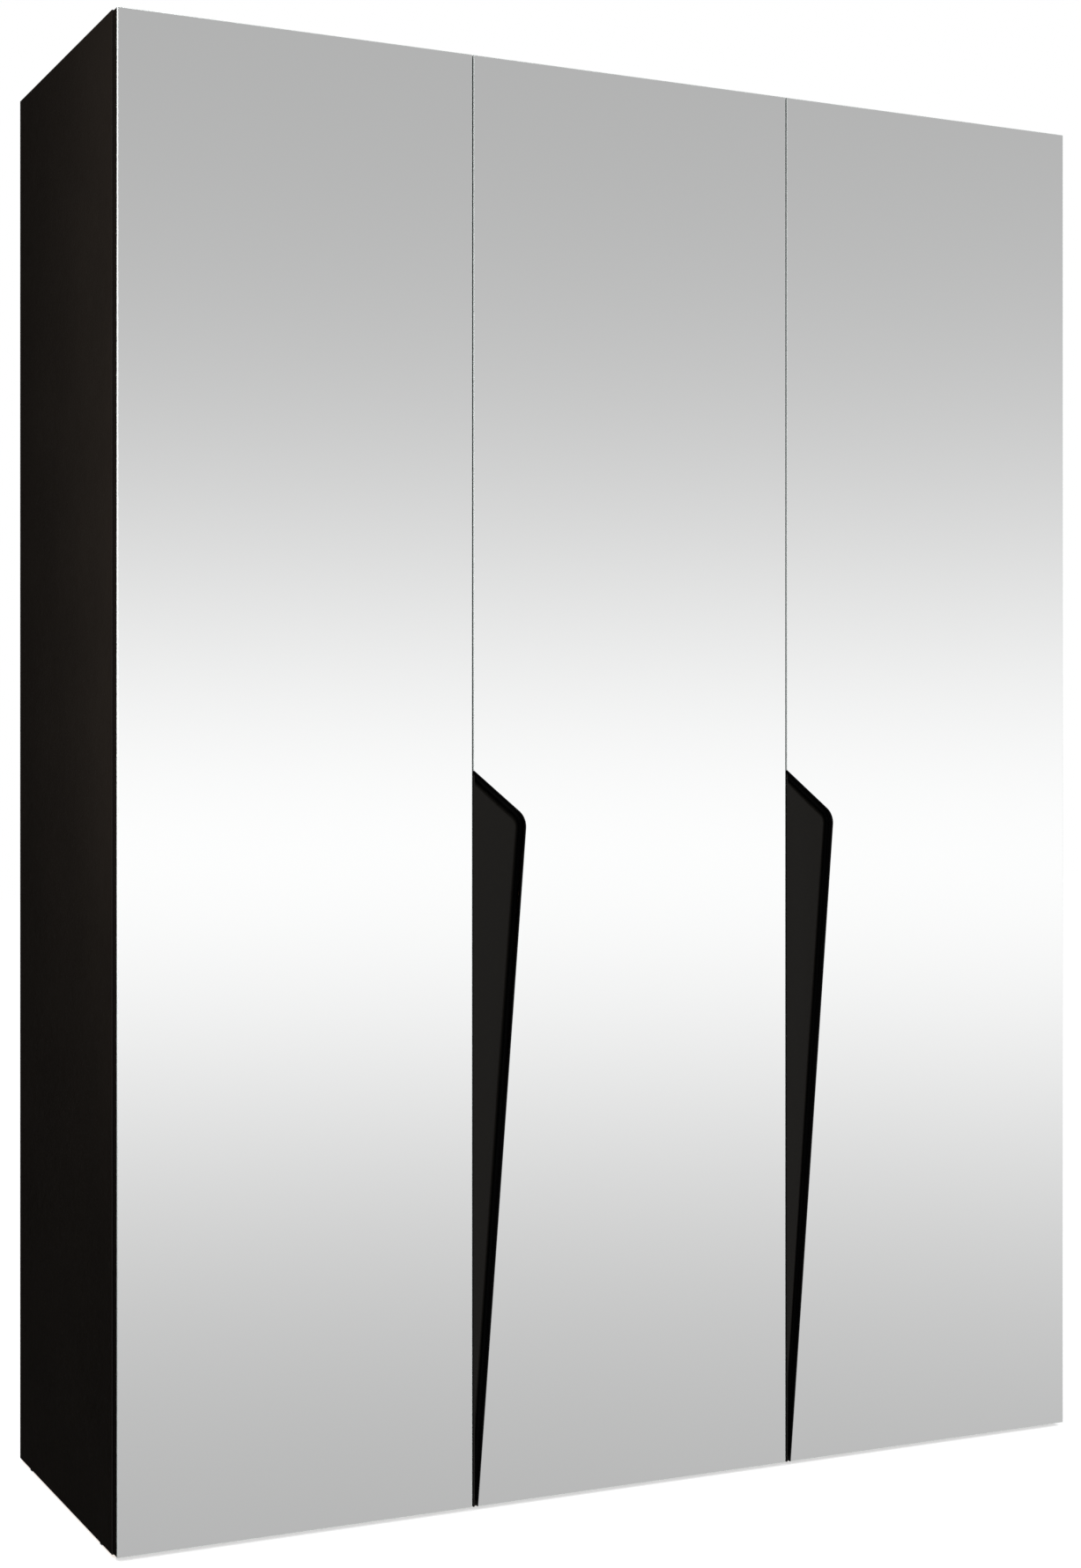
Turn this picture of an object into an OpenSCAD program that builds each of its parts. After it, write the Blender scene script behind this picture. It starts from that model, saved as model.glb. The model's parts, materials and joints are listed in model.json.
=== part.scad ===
// Wardrobe with three mirror doors on concealed hinges.
// X runs along the width, the doors face -Y, Z is up and the floor is z = 0.

/* [Overall] */
// Width over the side panels
body_w = 1500; // [1200:1:1900]
// Depth from the mirror faces to the back
body_d = 520; // [420:1:680]
// Height of the side panels
body_h = 2000; // [1650:1:2400]

/* [Boards] */
// Thickness of the side panels
side_t = 16; // [15:0.5:20]
// Thickness of the top, bottom, partition, plinths and hat shelf
board_t = 16; // [15:0.5:20]
// Thickness of the loose shelves
shelf_t = 16; // [15:0.5:22]
// Thickness of the back panels
back_t = 3; // [2.5:0.5:5]
// Width of the rebate that holds the back panels
rebate_w = 8; // [6:0.5:9]
// Height of the plinth
plinth_h = 60; // [40:1:100]
// Clearance round the back panels
back_play = 0.5; // [0.3:0.1:1]

/* [Doors] */
// Thickness of the door boards
door_board_t = 16; // [16:0.5:19]
// Thickness of the mirrors
mirror_t = 4; // [3:0.5:6]
// Thickness of the mirror tape
tape_t = 1; // [0.6:0.1:1.5]
// Width of a strip of mirror tape
tape_w = 19; // [12:1:30]
// Distance from a mirror edge to its tape
tape_inset = 3; // [2:0.5:8]
// Gap between neighbouring doors
door_gap = 2; // [2:0.5:5]
// Step from the outside of a side panel to the door edge
door_inset = 1; // [0:0.5:2]
// Step from the top or bottom of the side panels to the door
door_step = 2; // [1:0.5:6]
// Gap between the doors and the body
door_air = 2; // [1.8:0.1:3]

/* [Grip recess] */
// Height of the recess's upper end over the side panels' foot
grip_top = 1014; // [800:1:1300]
// Height of the recess's corner over the side panels' foot
grip_corner_h = 948.5; // [740:1:1230]
// Distance of the recess's corner from the door edge
grip_corner_w = 80; // [60:1:110]
// Width of the recess at the foot of the door
grip_foot_w = 6; // [4:0.5:20]
// Radius of the recess's corner
grip_r = 28; // [18:1:40]
// Width of the finger groove in front of the mirror edge
groove_w = 15; // [12:0.5:16]
// Depth of the finger groove into the board
groove_depth = 9; // [7:0.5:11]
// Reach of the finger groove behind the mirror edge
undercut = 4; // [2:0.5:6]
// Wall of the grip tray
tray_wall = 1; // [0.8:0.1:1.5]
// How far the tray's free edge stands behind the mirror's face
tray_lip_back = 0.6; // [0.4:0.1:3]
// Width of the tray's slope from its free edge to its floor
tray_slope_w = 40; // [15:1:60]
// Board left between the groove and the door edge
groove_rim = 3; // [2.5:0.5:10]

/* [Interior] */
// Height of the space over the hat shelf
hat_space = 312; // [250:1:420]
// Drop from the hat shelf to the middle of the clothes rail
rail_drop = 60; // [45:1:120]
// Height of the clothes rail's section
rail_h = 30; // [25:1:35]
// Width of the clothes rail's section
rail_w = 15; // [12:1:20]
// Wall of the clothes rail
rail_wall = 1.2; // [1:0.1:2]
// Step from the body's front to the shelves
shelf_step = 20; // [10:1:60]
// Clearance at each end of a loose shelf
shelf_play = 1; // [0.5:0.1:2]

/* [Hinges] */
// Hinges on each door
hinge_count = 4; // [3:1:5]
// Distance from a door's end to its first hinge
hinge_end = 114; // [105:1:160]
// Distance from the door edge to the middle of the cup
cup_set = 22.5; // [22.5:0.1:23]
// Radius of the hinge cup
cup_r = 17.5; // [17.5:0.1:18]
// Depth of the hinge cup
cup_depth = 13.4; // [13.4:0.1:13.8]
// Wall of the hinge cup
cup_wall = 0.8; // [0.6:0.1:0.8]
// Radius of the screws that hold the cups and plates
screw_r = 2; // [1.5:0.1:2.5]

/* [Feet and fasteners] */
// Height of the floor glides
glide_h = 4; // [4:0.5:10]
// Radius of the floor glides
glide_r = 7; // [5:0.5:7.5]
// Radius of the shelf pins
pin_r = 2.5; // [2:0.1:3]
// Distance between the two wall brackets
bracket_span = 1200; // [800:1:1300]
// Radius of the wall screw hole in a bracket
wall_hole_r = 3; // [2.5:0.1:4]

/* [Hidden] */
$fn = 48;

black_brown = "#231d18";
white = "#e8e6e0";
steel = "#b9bcc0";

// Clearances
fit = 0.05;
air = 0.3;
eps = 0.01;

// Levels and planes
z_foot = glide_h;
z_floor_board = z_foot + plinth_h;
z_inside = z_floor_board + board_t;
z_top = z_foot + body_h;
z_ceiling = z_top - board_t;
door_t = door_board_t + tape_t + mirror_t;
y_front = -body_d / 2;
y_mirror_back = y_front + mirror_t;
y_board_front = y_mirror_back + tape_t;
y_door_back = y_board_front + door_board_t;
y_body = y_door_back + door_air;
y_rear = body_d / 2;
y_back_panel = y_rear - back_t;
x_side = body_w / 2 - side_t;

// Doors: 0 is left, 1 is middle, 2 is right; the left one is hung on its left edge
door_z = z_foot + door_step;
door_h = body_h - 2 * door_step;
door_w = (body_w - 2 * door_inset - 2 * door_gap) / 3;
function door_x(i) = -body_w / 2 + door_inset + i * (door_w + door_gap);
function hung_x(i) = i == 0 ? door_x(0) : door_x(i) + door_w;
hinge_pitch = (door_h - 2 * hinge_end) / (hinge_count - 1);
hinge_z = [for (k = [0 : hinge_count - 1]) door_z + hinge_end + k * hinge_pitch];

// The partition stands behind the gap between the middle and the right door, to 0.1 mm
x_partition = round(10 * (door_x(2) - door_gap / 2)) / 10;
x_wide_end = x_partition - board_t / 2;
x_narrow_start = x_partition + board_t / 2;
x_back_joint = (-x_side + x_wide_end) / 2;

// Distance from a door's hung edge to the face that its hinges are screwed to
side_reach = side_t - door_inset;
partition_reach = hung_x(1) - x_wide_end;

// ---------- Fasteners between boards ----------
// A joint's own X axis runs from the face of one board into the end of the other.

cam_r = 7.5;
cam_depth = 12.5;
cam_set = 34;
cam_bolt_r = 3;
cam_thread_r = 2.5;
cam_thread_l = 11;
dowel_r = 4;
dowel_in_face = 10;
dowel_in_end = 20;
joint_y = [y_body + 60, y_rear - 70];
dowel_y = [y_body + 110, y_rear - 120];
z_top_mid = z_ceiling + board_t / 2;
z_bottom_mid = z_floor_board + board_t / 2;
z_hat = z_ceiling - hat_space - board_t;
z_hat_mid = z_hat + board_t / 2;
plinth_dowel_z = [z_foot + plinth_h * 0.3, z_foot + plinth_h * 0.7];
y_front_plinth = y_body + board_t / 2;
y_rear_plinth = y_back_panel - board_t / 2;

function span_places(ys, z, x_low, x_high) = [for (y = ys) each [
    [[x_low, y, z], [0, 0, 0]], [[x_high, y, z], [0, 0, 180]]]];
function partition_places(ys) = [for (y = ys) each [
    [[x_partition, y, z_inside], [0, -90, 0]], [[x_partition, y, z_ceiling], [0, 90, 0]]]];
function plinth_places(y) = [for (z = plinth_dowel_z) each [
    [[-x_side, y, z], [0, 0, 0]], [[x_side, y, z], [0, 0, 180]]]];

top_cams = span_places(joint_y, z_top_mid, -x_side, x_side);
bottom_cams = span_places(joint_y, z_bottom_mid, -x_side, x_side);
hat_cams = span_places(joint_y, z_hat_mid, -x_side, x_wide_end);
partition_cams = partition_places(joint_y);
top_dowels = span_places(dowel_y, z_top_mid, -x_side, x_side);
bottom_dowels = span_places(dowel_y, z_bottom_mid, -x_side, x_side);
hat_dowels = span_places([dowel_y[0]], z_hat_mid, -x_side, x_wide_end);
partition_dowels = partition_places(dowel_y);
plinth_dowels = concat(plinth_places(y_front_plinth), plinth_places(y_rear_plinth));

module at_places(places) for (p = places) translate(p[0]) rotate(p[1]) children();

module rod_x(r, from, to) translate([from, 0, 0]) rotate([0, 90, 0]) cylinder(r = r, h = to - from);
module rod_y(r, from, to) translate([0, from, 0]) rotate([-90, 0, 0]) cylinder(r = r, h = to - from);
module rod_z(r, from, to) translate([0, 0, from]) cylinder(r = r, h = to - from);

module cam_bores() {
    rod_x(cam_thread_r + fit, -cam_thread_l - 0.5, eps);
    rod_x(cam_bolt_r + 1, -eps, cam_set);
    translate([cam_set, 0, 0]) rod_z(cam_r + fit, -board_t / 2 - 1, cam_depth - board_t / 2);
}

module cam_lock() translate([cam_set, 0, 0]) difference() {
    rod_z(cam_r, 0.2 - board_t / 2, cam_depth - board_t / 2 - 0.3);
    translate([-cam_r - 1, -cam_bolt_r - 0.4, -cam_bolt_r - 0.4])
        cube([cam_r + 4.5, 2 * cam_bolt_r + 0.8, 2 * cam_bolt_r + 0.8]);
    translate([-3, -0.6, -board_t / 2]) cube([6, 1.2, 2]);
    translate([-0.6, -3, -board_t / 2]) cube([1.2, 6, 2]);
}

module cam_bolt() {
    rod_x(cam_thread_r, -cam_thread_l, 0);
    rod_x(cam_bolt_r + 0.7, 0, 1.5);
    rod_x(cam_bolt_r - 1, 0, cam_set);
    rod_x(cam_bolt_r, cam_set - 2.5, cam_set + 1.5);
}

module dowel_bores() rod_x(dowel_r + fit, -dowel_in_face - 0.5, dowel_in_end + 0.5);
module dowel() rod_x(dowel_r, -dowel_in_face, dowel_in_end);

// ---------- Back panels and their nails ----------
nail_r = 0.7;
nail_l = 18;
nail_head_r = 2;
nail_head_t = 0.6;
nail_pitch = 290;
nail_edge = 60;
rebate_mid = rebate_w / 2;
back_left = -x_side - rebate_w + back_play;
back_right = x_side + rebate_w - back_play;
back_foot = z_foot + 2;
back_top = z_top - 2;
back_h = back_top - back_foot;
back_joint_gap = 1.5;

function steps(low, high, pitch) = let (n = ceil((high - low) / pitch))
    [for (k = [0 : n]) low + k * (high - low) / n];
nail_rows = steps(z_inside + nail_edge, z_ceiling - nail_edge, nail_pitch);
nail_columns = concat(
    steps(back_left + nail_edge, x_back_joint - nail_edge, nail_pitch),
    steps(x_back_joint + nail_edge, x_partition - nail_edge, nail_pitch),
    steps(x_partition + nail_edge, back_right - nail_edge, nail_pitch));
nail_places = concat(
    [for (z = nail_rows) each [[-x_side - rebate_mid, z], [x_partition - board_t / 4, z],
        [x_partition + board_t / 4, z], [x_side + rebate_mid, z]]],
    [for (x = nail_columns) each [[x, z_bottom_mid], [x, z_top_mid]]]);

module at_nails() for (p = nail_places) translate([p[0], 0, p[1]]) children();
module nail_bores() at_nails() rod_y(nail_r + fit, y_back_panel - nail_l - 0.5, y_rear + 1);

module back_nails() color(steel) at_nails() {
    rod_y(nail_r, y_back_panel - nail_l, y_rear);
    rod_y(nail_head_r, y_rear - nail_head_t, y_rear);
}

module back_board(x_low, x_high) difference() {
    translate([x_low, y_back_panel, back_foot]) cube([x_high - x_low, back_t, back_h]);
    nail_bores();
    at_nails() rod_y(nail_head_r + fit, y_rear - nail_head_t - fit, y_rear + 1);
    at_brackets() rod_y(bracket_window_r, y_back_panel - 1, y_rear + 1);
}

// ---------- Hinges ----------
// Hinge coordinates: x = 0 is the door's hung edge with the door on the -x side,
// y = 0 is the front of the body and z = 0 is the middle of the hinge.

hook_pivot = [-32.5, 12];
hook_end = [-11, -8];
inner_pivot = [-34, -2];
inner_end = [-15, -8.5];
hook_path = [hook_pivot, [-30, 4], [-30, -6], [-26, -10.4], [-18.5, -12.2], [-15.5, -11.9], hook_end];
inner_path = [inner_pivot, [-34.8, -9.5], [-32.5, -12.3], [-25, -13.3], [-22.5, -12.3], [-18, -8.8],
    inner_end];
hook_t = 2;
inner_t = 1.6;
bend_swell = 0.12;
hook_half = 2.6;
ear_low = hook_half + air;
ear_high = 4.1;
inner_low = ear_high + air;
inner_high = 5.6;
cheek_low = 6.2;
cheek_high = 7.7;
hook_pivot_r = 2;
hook_end_r = 1.5;
inner_pivot_r = 1.5;
inner_end_r = 1.1;
loose_play = 1.8;

arm_back = -37;
arm_front = -25;
arm_length = 74;
arm_web = 1.4;
plate_y = 37;
plate_t = 2;
wing_reach = 16;
wing_r = 8;
ridge_half = 5.7;
ridge_y = [22, 68];
arm_screw_y = 52;
cup_screw_set = 9.5;
cup_screw_span = 22.5;
cup_screw_l = 12;
plate_screw_l = 12;
screw_head_r = 3.9;
screw_head_t = 1.8;
flange_t = 0.8;

module at_hinges(i) for (z = hinge_z) translate([hung_x(i), y_body, z])
    mirror([i == 0 ? 1 : 0, 0, 0]) children();

module at_all_hinges() {
    at_hinges(0) children();
    at_hinges(1) children();
    at_hinges(2) children();
}

// A bent strip: flats between the path's points and a slightly swollen round at each bend
module strip(path, t) for (k = [0 : len(path) - 2]) {
    step = path[k + 1] - path[k];
    translate(path[k]) rotate(atan2(step[1], step[0])) translate([0, -t / 2]) square([norm(step), t]);
    if (k < len(path) - 2) translate(path[k + 1]) circle(r = t / 2 + bend_swell);
}

module layer(low, high) translate([0, 0, low]) linear_extrude(high - low) children();
module both_layers(low, high) {
    layer(low, high) children();
    layer(-high, -low) children();
}

module hook_link() layer(-hook_half, hook_half) difference() {
    union() {
        strip(hook_path, hook_t);
        translate(hook_pivot) circle(r = hook_pivot_r + 0.9);
        translate(hook_end) circle(r = hook_end_r + 1.2);
    }
    translate(hook_pivot) circle(r = hook_pivot_r + fit);
    translate(hook_end) circle(r = hook_end_r + fit);
}

module inner_link() both_layers(inner_low, inner_high) difference() {
    union() {
        strip(inner_path, inner_t);
        translate(inner_pivot) circle(r = inner_pivot_r + 1);
        translate(inner_end) circle(r = inner_end_r + loose_play + 1.1);
    }
    translate(inner_pivot) circle(r = inner_pivot_r + fit);
    translate(inner_end) circle(r = inner_end_r + loose_play);
}

module pins_of_arm() {
    translate(hook_pivot) rod_z(hook_pivot_r, -cheek_high, cheek_high);
    for (m = [0, 1]) mirror([0, 0, m]) translate(inner_pivot)
        rod_z(inner_pivot_r, inner_low - 0.1, cheek_high);
}

module pins_of_cup() {
    translate(hook_end) rod_z(hook_end_r, -ear_high, ear_high);
    for (m = [0, 1]) mirror([0, 0, m]) translate(inner_end)
        rod_z(inner_end_r, ear_low, inner_high + air);
}

module hinge_arm() difference() {
    union() {
        both_layers(cheek_low, cheek_high) {
            polygon([[inner_pivot[0] - 2.5, inner_pivot[1]], [inner_pivot[0] + 2.5, inner_pivot[1]],
                [hook_pivot[0] + 3.5, hook_pivot[1]], [arm_front, hook_pivot[1] + 8],
                [arm_front, arm_length], [arm_back, arm_length], [arm_back, hook_pivot[1]]]);
            translate(inner_pivot) circle(r = 2.5);
        }
        layer(-cheek_high, cheek_high)
            translate([arm_back, hook_pivot[1] + 4]) square([arm_web, arm_length - hook_pivot[1] - 4]);
    }
    translate(hook_pivot) rod_z(hook_pivot_r + fit / 2, -cheek_high - 1, cheek_high + 1);
    for (m = [0, 1]) mirror([0, 0, m]) translate(inner_pivot)
        rod_z(inner_pivot_r + fit / 2, cheek_low - 1, cheek_high + 1);
    translate([0, arm_screw_y, 0]) rod_x(screw_r + 0.3, arm_back - 1, arm_front);
}

module hinge_plate(reach) difference() {
    union() {
        translate([-reach - plate_t, 0, 0]) {
            translate([0, plate_y - wing_r, -wing_reach]) cube([plate_t, 2 * wing_r, 2 * wing_reach]);
            for (s = [-1, 1]) translate([0, plate_y, s * wing_reach]) rod_x(wing_r, 0, plate_t);
        }
        translate([arm_back + arm_web, ridge_y[0], -ridge_half])
            cube([-reach - arm_back - arm_web, ridge_y[1] - ridge_y[0], 2 * ridge_half]);
    }
    for (s = [-1, 1]) translate([0, plate_y, s * wing_reach])
        rod_x(screw_r + 0.3, -reach - plate_t - 1, -reach + 1);
    translate([0, arm_screw_y, 0]) rod_x(screw_r + fit, arm_back, arm_back + 9);
}

module plate_screw(reach) for (s = [-1, 1]) translate([0, plate_y, s * wing_reach]) difference() {
    union() {
        rod_x(screw_r, -reach - plate_t - 1, -reach + plate_screw_l);
        rod_x(screw_head_r, -reach - plate_t - screw_head_t, -reach - plate_t);
    }
    cross_slot(-reach - plate_t - screw_head_t);
}

module cross_slot(x) {
    translate([x - 1, -0.5, -2]) cube([2, 1, 4]);
    translate([x - 1, -2, -0.5]) cube([2, 4, 1]);
}

module arm_screw() translate([0, arm_screw_y, 0]) difference() {
    union() {
        rod_x(screw_r, arm_back - 1, arm_back + 8);
        rod_x(screw_head_r, arm_back - screw_head_t, arm_back);
    }
    cross_slot(arm_back - screw_head_t);
}

module plate_bores(reach) for (s = [-1, 1]) translate([0, plate_y, s * wing_reach])
    rod_x(screw_r + fit, -reach - 1, -reach + plate_screw_l + 0.5);

module hinge_cup() {
    floor_y = -door_air - cup_depth;
    difference() {
        union() {
            translate([-cup_set, 0, 0]) rod_y(cup_r, floor_y, -door_air);
            translate([-cup_set, 0, 0]) rod_y(cup_r + 1.2, -door_air, flange_t - door_air);
            translate([-cup_set - cup_screw_set, -door_air, 0]) {
                translate([-5, 0, -cup_screw_span]) cube([10, flange_t, 2 * cup_screw_span]);
                for (s = [-1, 1]) translate([0, 0, s * cup_screw_span]) rod_y(5, 0, flange_t);
            }
        }
        translate([-cup_set, 0, 0]) rod_y(cup_r - cup_wall, floor_y + cup_wall, 1);
        at_cup_screws() rod_y(screw_r + 0.3, -door_air - 1, 1);
    }
    difference() {
        both_layers(ear_low, ear_high)
            translate([-18, floor_y + cup_wall - eps]) square([9.6, 9.6]);
        translate(hook_end) rod_z(hook_end_r + fit / 2, -ear_high - 1, ear_high + 1);
        translate(inner_end) rod_z(inner_end_r + fit / 2, -ear_high - 1, ear_high + 1);
    }
}

module at_cup_screws() for (s = [-1, 1])
    translate([-cup_set - cup_screw_set, 0, s * cup_screw_span]) children();

module cup_screw() at_cup_screws() {
    rod_y(screw_r, -door_air - cup_screw_l, flange_t - door_air);
    rod_y(screw_head_r - 0.4, flange_t - door_air, flange_t - door_air + 0.7);
}

module cup_bores() {
    translate([-cup_set, 0, 0]) rod_y(cup_r + fit, -door_air - cup_depth - fit, 0);
    at_cup_screws() rod_y(screw_r + fit, -door_air - cup_screw_l - 0.5, 0);
}

// ---------- Grip recess ----------
// Outlines lie in a plane with x from the door's edge and y up from the floor.

grip_rise = z_foot + grip_top;
grip_corner = [grip_corner_w, z_foot + grip_corner_h];
grip_slope = (grip_corner - [0, grip_rise]) / norm(grip_corner - [0, grip_rise]);
grip_edge = ([grip_foot_w, door_z] - grip_corner) / norm([grip_foot_w, door_z] - grip_corner);
function turned(v) = [v[1], -v[0]];
function unit(v) = v / norm(v);
arc_steps = 10;

// The recess's outline moved inwards by d, from x = left, down to y = low
function grip_outline(d, left, low) =
    let (n1 = turned(grip_slope), n2 = turned(grip_edge), r = max(grip_r - d, 3),
        half = n1 * n2,
        bisector = unit(n1 + n2),
        corner = grip_corner + bisector * d / (bisector * n1),
        centre = corner + bisector * r / (bisector * n1),
        a1 = atan2(-n1[1], -n1[0]), a2 = atan2(-n2[1], -n2[0]),
        start = corner - grip_slope * (corner[0] - left) / grip_slope[0],
        foot = corner + grip_edge * (low - corner[1]) / grip_edge[1],
        cross = corner + grip_edge * (left - corner[0]) / grip_edge[0])
    concat([start],
        [for (k = [0 : arc_steps]) let (a = a1 + (a2 - a1) * k / arc_steps) centre + r * [cos(a), sin(a)]],
        foot[0] > left + eps ? [foot, [left, low]] : [cross]);

module groove_shape(grow) difference() {
    polygon(grip_outline(-undercut - grow, groove_rim - grow, door_z + 8 - grow));
    polygon(grip_outline(groove_w + grow, -20, door_z - 20));
}

// Stands a flat outline up in the door's plane, from y = from to y = to
module upright(i, from, to) translate([door_x(i), to, 0]) rotate([90, 0, 0])
    linear_extrude(to - from) children();

module grip_tray(i) color("#151515") difference() {
    union() {
        upright(i, y_board_front, y_board_front + tray_wall)
            polygon(grip_outline(-undercut - 2, 0, door_z));
        upright(i, y_board_front, y_board_front + groove_depth) groove_shape(tray_wall);
        tray_slope(i);
    }
    upright(i, y_front, y_board_front + groove_depth - tray_wall) groove_shape(0);
}

// The tray's floor slopes forward to its free edge, clear of the mirror's cut
module tray_slope(i) {
    lip = y_front + tray_lip_back;
    behind = y_board_front + tray_wall / 2;
    intersection() {
        upright(i, lip - 1, behind) polygon(grip_outline(0.5, 0, door_z));
        translate([door_x(i), 0, door_z]) linear_extrude(grip_rise)
            polygon([[0, lip], [0, behind], [tray_slope_w, behind], [tray_slope_w, y_board_front]]);
    }
}

// ---------- Doors ----------

module door_board(i) color(black_brown) difference() {
    translate([door_x(i), y_board_front, door_z]) cube([door_w, door_board_t, door_h]);
    at_hinges(i) cup_bores();
    if (i > 0) {
        upright(i, y_board_front - 1, y_board_front + tray_wall + fit)
            polygon(grip_outline(-undercut - 2 - fit, -1, door_z - 1));
        upright(i, y_board_front - 1, y_board_front + groove_depth + fit) groove_shape(tray_wall + fit);
    }
}

module mirror_plate(i) color("#c9d0d2") difference() {
    translate([door_x(i), y_front, door_z]) cube([door_w, mirror_t, door_h]);
    if (i > 0) upright(i, y_front - 1, y_mirror_back + 1) polygon(grip_outline(0, -1, door_z - 1));
}

// Upright strips of tape; those at a recess start above or beside it
module mirror_tape(i) {
    recess_top = grip_rise + 2 * undercut + tape_inset;
    far = door_w - tape_inset - tape_w;
    middle = (door_w - tape_w) / 2;
    low = door_z + tape_inset;
    high = door_z + door_h - tape_inset;
    color("#1b1b1b") translate([door_x(i), y_mirror_back, 0]) {
        translate([tape_inset, 0, i > 0 ? recess_top : low])
            cube([tape_w, tape_t, high - (i > 0 ? recess_top : low)]);
        if (i > 0) translate([grip_corner_w + 2 * undercut + tape_inset, 0, low])
            cube([tape_w, tape_t, recess_top - low]);
        for (x = [middle, far]) translate([x, 0, low]) cube([tape_w, tape_t, high - low]);
    }
}

// ---------- Carcass ----------

wall_hole_z = z_ceiling - 26;
bracket_t = 2;
bracket_w = 24;
bracket_leg = 40;
bracket_window_r = 8;
bracket_screw_y = -24;
bracket_screw_l = 12;

module at_brackets() for (s = [-1, 1]) translate([s * bracket_span / 2, 0, wall_hole_z]) children();

module wall_brackets() color(steel) at_brackets() difference() {
    top = z_ceiling - wall_hole_z;
    union() {
        translate([-bracket_w / 2, y_back_panel - bracket_t, top - bracket_leg])
            cube([bracket_w, bracket_t, bracket_leg]);
        translate([-bracket_w / 2, y_back_panel - bracket_leg, top - bracket_t])
            cube([bracket_w, bracket_leg, bracket_t]);
    }
    rod_y(wall_hole_r, y_back_panel - bracket_t - 1, y_back_panel + 1);
    translate([0, y_back_panel + bracket_screw_y, 0]) rod_z(screw_r + 0.3, top - bracket_t - 1, top + 1);
}

module bracket_screws() color(steel) at_brackets() translate([0, y_back_panel + bracket_screw_y, 0]) {
    top = z_ceiling - wall_hole_z;
    rod_z(screw_r, top - bracket_t - 1, top + bracket_screw_l);
    rod_z(screw_head_r, top - bracket_t - screw_head_t, top - bracket_t);
}

module bracket_bores() at_brackets() translate([0, y_back_panel + bracket_screw_y, 0])
    rod_z(screw_r + fit, z_ceiling - wall_hole_z - 1, z_ceiling - wall_hole_z + bracket_screw_l + 0.5);

module side_panel(s) difference() {
    low = s < 0 ? -body_w / 2 : x_side;
    i = s < 0 ? 0 : 2;
    color(black_brown) translate([low, y_body, z_foot]) cube([side_t, y_rear - y_body, body_h]);
    translate([s < 0 ? -x_side - rebate_w : x_side - 1, y_back_panel, z_foot - 1])
        cube([rebate_w + 1, back_t + 1, body_h + 2]);
    at_places(top_cams) cam_bores();
    at_places(bottom_cams) cam_bores();
    at_places(concat(top_dowels, bottom_dowels, plinth_dowels)) dowel_bores();
    at_hinges(i) plate_bores(side_reach);
    nail_bores();
    at_glides() rod_z(glide_nail_r + fit, z_foot - 1, z_foot + glide_nail_l + 0.5);
    if (s < 0) {
        at_places(hat_cams) cam_bores();
        at_places(hat_dowels) dowel_bores();
        at_rail_screws() rod_x(screw_r + fit, -rail_screw_l - 0.5, 1);
    } else at_shelf_pins() rod_x(pin_r + fit, -1, pin_in + 0.5);
}

module left_side_panel() side_panel(-1);
module right_side_panel() side_panel(1);

module top_panel() color(black_brown) difference() {
    translate([-x_side, y_body, z_ceiling]) cube([2 * x_side, y_back_panel - y_body, board_t]);
    at_places(concat(top_cams, partition_cams)) cam_bores();
    at_places(concat(top_dowels, partition_dowels)) dowel_bores();
    nail_bores();
    bracket_bores();
}

module bottom_panel() color(black_brown) difference() {
    translate([-x_side, y_body, z_floor_board]) cube([2 * x_side, y_back_panel - y_body, board_t]);
    at_places(concat(bottom_cams, partition_cams)) cam_bores();
    at_places(concat(bottom_dowels, partition_dowels)) dowel_bores();
    nail_bores();
}

module partition_panel() color(black_brown) difference() {
    translate([x_wide_end, y_body, z_inside]) cube([board_t, y_back_panel - y_body, z_ceiling - z_inside]);
    at_places(concat(partition_cams, hat_cams)) cam_bores();
    at_places(concat(partition_dowels, hat_dowels)) dowel_bores();
    at_hinges(1) plate_bores(partition_reach);
    nail_bores();
    at_rail_screws() rod_x(screw_r + fit, -rail_screw_l - 0.5, 1);
    at_shelf_pins() rod_x(pin_r + fit, -1, pin_in + 0.5);
}

module plinth(y, foot) color(black_brown) difference() {
    translate([-x_side, y - board_t / 2, foot]) cube([2 * x_side, board_t, z_foot + plinth_h - foot]);
    at_places(plinth_dowels) dowel_bores();
    at_glides() rod_z(glide_nail_r + fit, z_foot - 1, z_foot + glide_nail_l + 0.5);
}

module front_plinth() plinth(y_front_plinth, z_foot);
module rear_plinth() plinth(y_rear_plinth, z_foot);

module left_back_panel() color(white) back_board(back_left, x_back_joint - back_joint_gap / 2);
module middle_back_panel() color(white)
    back_board(x_back_joint + back_joint_gap / 2, x_partition - back_joint_gap / 2);
module right_back_panel() color(white) back_board(x_partition + back_joint_gap / 2, back_right);

// A flat H section that holds the edges of two back panels; its web fills their gap
strip_lip = 0.8;
strip_w = 14;
module back_joint_strip() color(white) translate([x_back_joint, 0, z_inside + 1]) {
    length = z_ceiling - z_inside - 2;
    translate([-back_joint_gap / 2 + 0.1, y_back_panel - strip_lip, 0])
        cube([back_joint_gap - 0.2, back_t + strip_lip, length]);
    translate([-strip_w / 2, y_back_panel - strip_lip, 0]) cube([strip_w, strip_lip, length]);
}

module hat_shelf() color(black_brown) difference() {
    translate([-x_side, y_body + shelf_step, z_hat])
        cube([x_side + x_wide_end, y_back_panel - y_body - shelf_step - 1, board_t]);
    at_places(hat_cams) cam_bores();
    at_places(hat_dowels) dowel_bores();
}

module cam_locks() color(steel)
    at_places(concat(top_cams, bottom_cams, hat_cams, partition_cams)) cam_lock();
module cam_bolts() color(steel)
    at_places(concat(top_cams, bottom_cams, hat_cams, partition_cams)) cam_bolt();
module dowels() color("#c9a46a")
    at_places(concat(top_dowels, bottom_dowels, hat_dowels, partition_dowels, plinth_dowels)) dowel();

// ---------- Clothes rail ----------

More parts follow.
